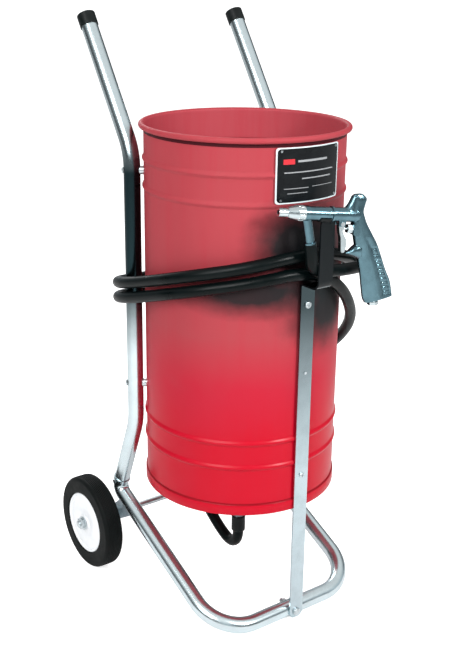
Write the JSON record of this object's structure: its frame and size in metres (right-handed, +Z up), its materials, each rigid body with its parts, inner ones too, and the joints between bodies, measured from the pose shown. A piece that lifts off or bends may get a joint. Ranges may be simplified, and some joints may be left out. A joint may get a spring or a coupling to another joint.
{
  "type": "portable siphon-feed abrasive blaster",
  "caption": "Open red steel drum on a two-wheeled plated tube cart, with a black feed hose wound round it and a pistol-grip suction blast gun resting on the front hook.",
  "frame": {"origin": "on the floor, under the middle of the machine's box without its hose", "axes": "+Z up along the drum, +X to the right along the wheel axle, -Y to the front, where the strap, hook and gun are"},
  "size_m": [0.486, 0.575, 1.0882],
  "materials": {
    "drum_red": "gloss",
    "hopper_red": "satin",
    "plated_tube": "gloss",
    "plated_steel": "satin",
    "fastener": "satin",
    "black_cap": "matte",
    "tyre_black": "matte",
    "wheel_white": "gloss",
    "bush_white": "satin",
    "hose_black": "satin",
    "plate_black": "satin",
    "cast_aluminium": "satin",
    "nozzle_steel": "satin",
    "brass": "satin",
    "pipe_zinc": "satin"
  },
  "bodies": {
    "machine": {"drum_shell": "drum_red", "drum_bottom": "drum_red", "hopper_cone": "hopper_red", "outlet_nipple": "pipe_zinc", "outlet_locknuts": "pipe_zinc", "outlet_sleeve": "pipe_zinc", "label_plate": "plate_black", "label_rivets": "fastener", "left_upright": "plated_tube", "right_upright": "plated_tube", "left_grip_cap": "black_cap", "right_grip_cap": "black_cap", "base_tube": "plated_tube", "socket_screws": "fastener", "left_axle_bracket": "plated_steel", "right_axle_bracket": "plated_steel", "axle": "plated_steel", "axle_washers": "fastener", "axle_spacers": "fastener", "axle_nuts": "fastener", "front_strap": "plated_steel", "strap_screws": "fastener", "strap_spacers": "fastener", "strap_nuts": "fastener", "strap_rivet": "fastener", "foot_bolt": "fastener", "foot_nut": "fastener", "gun_rest": "plated_steel", "drum_bolts": "fastener", "drum_spacers": "fastener", "drum_nuts": "fastener", "gun_body": "cast_aluminium", "gun_barrel": "cast_aluminium", "gun_nozzle": "nozzle_steel", "nozzle_nut": "nozzle_steel", "air_jet": "brass", "air_inlet": "brass", "trigger_pin": "fastener", "valve_cap": "brass", "valve_seat": "brass", "media_hose": "hose_black"},
    "left_wheel": {"left_tyre": "tyre_black", "left_rim": "wheel_white", "left_bush": "bush_white"},
    "right_wheel": {"right_tyre": "tyre_black", "right_rim": "wheel_white", "right_bush": "bush_white"},
    "trigger_lever": {"trigger": "cast_aluminium"},
    "valve_core": {"valve_plunger": "fastener", "valve_spring": "fastener"}
  },
  "joints": [
    {"name": "left_wheel_spin", "type": "hinge", "parent": "machine", "child": "left_wheel", "pos_m": [-0.21025, 0.1938, 0.0937], "axis": [1, 0, 0], "continuous": true},
    {"name": "right_wheel_spin", "type": "hinge", "parent": "machine", "child": "right_wheel", "pos_m": [0.21025, 0.1938, 0.0937], "axis": [1, 0, 0], "continuous": true},
    {"name": "trigger_pull", "type": "hinge", "parent": "machine", "child": "trigger_lever", "pos_m": [0.02107, -0.25266, 0.77248], "axis": [-0.2419, -0.9703, 0], "range_deg": [0, 10], "stiffness_Nm_per_rad": 0.5, "springref_deg": -5.73},
    {"name": "valve_slide", "type": "slide", "parent": "machine", "child": "valve_core", "axis": [0.9646, -0.2405, -0.108], "range_m": [0, 0.0017]}
  ],
  "couplings": [
    {"joint": "valve_slide", "follows": "trigger_pull", "m_per_rad": 0.009}
  ]
}
